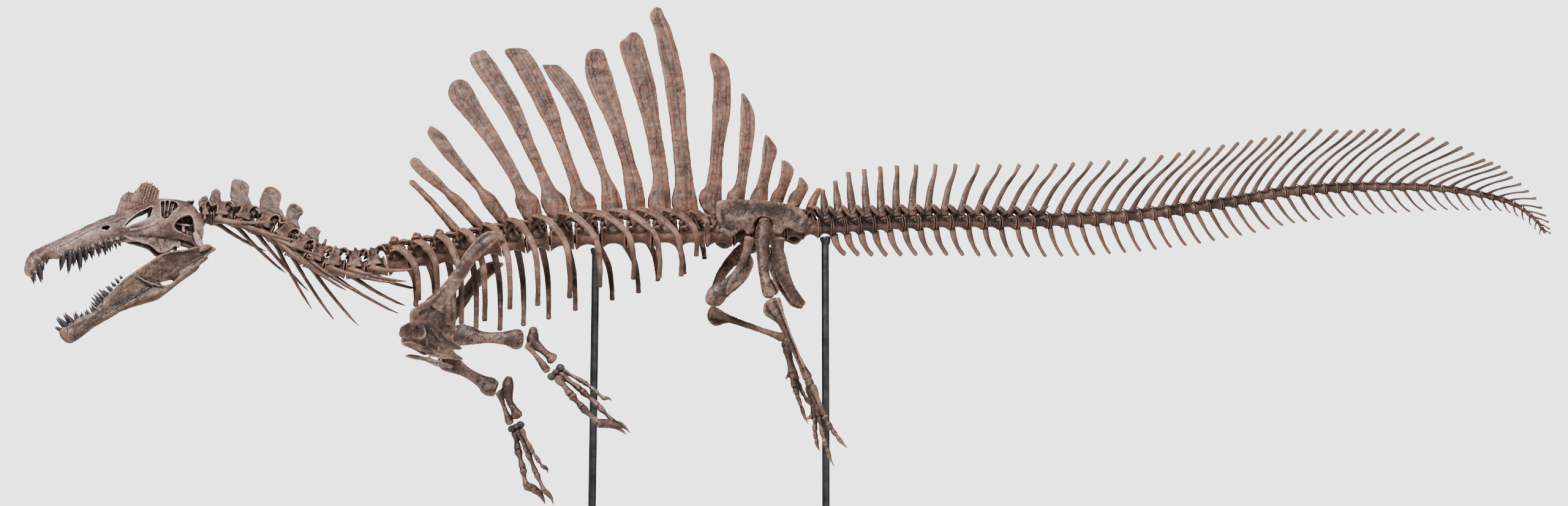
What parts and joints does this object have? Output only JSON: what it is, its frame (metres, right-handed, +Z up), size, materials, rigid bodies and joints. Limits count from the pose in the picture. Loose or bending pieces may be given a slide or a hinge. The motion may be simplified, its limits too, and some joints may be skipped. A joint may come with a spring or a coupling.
{
  "type": "mounted dinosaur skeleton",
  "caption": "Life-size sail-backed dinosaur skeleton in a swimming pose, jaws open and long tail out behind, held on upright rods over a flat display base.",
  "frame": {"origin": "centre of the display base's underside, on the floor", "axes": "+X from the animal's hips towards its tail, +Y to its right side, +Z up"},
  "size_m": [14.113, 1.8, 5.1406],
  "materials": {
    "fossil_bone": "cast bone, matt red-brown with dark recesses",
    "grey_bone": "cast bone, matt mauve-grey",
    "sail_bone": "cast bone, matt red-brown, streaked along the grain",
    "dark_steel": "satin black steel tube",
    "base_board": "board painted satin charcoal"
  },
  "bodies": {
    "root": {"skull": "grey_bone", "lower_jaw": "fossil_bone", "neck_front": "fossil_bone", "neck_middle": "fossil_bone", "neck_rear": "fossil_bone", "back_front": "sail_bone", "back_middle": "sail_bone", "back_rear": "sail_bone", "sacrum": "sail_bone", "ribs_front_left": "fossil_bone", "ribs_middle_left": "fossil_bone", "ribs_rear_left": "fossil_bone", "ribs_front_right": "fossil_bone", "ribs_middle_right": "fossil_bone", "ribs_rear_right": "fossil_bone", "ilium_left": "grey_bone", "ilium_right": "grey_bone", "pubis_left": "grey_bone", "pubis_right": "grey_bone", "ischium_left": "grey_bone", "ischium_right": "grey_bone", "thigh_left": "fossil_bone", "thigh_right": "fossil_bone", "shin_left": "fossil_bone", "shin_right": "fossil_bone", "foot_left": "fossil_bone", "foot_right": "fossil_bone", "shoulder_left": "grey_bone", "shoulder_right": "grey_bone", "upper_arm_left": "grey_bone", "upper_arm_right": "grey_bone", "forearm_left": "fossil_bone", "forearm_right": "fossil_bone", "hand_left": "grey_bone", "hand_right": "grey_bone", "tail_1": "fossil_bone", "tail_2": "fossil_bone", "tail_3": "fossil_bone", "tail_4": "fossil_bone", "tail_5": "fossil_bone", "tail_6": "fossil_bone", "tail_7": "fossil_bone", "tail_8": "fossil_bone", "stand_base": "base_board", "stand_rod_front": "dark_steel", "stand_rod_rear": "dark_steel"}
  },
  "joints": []
}
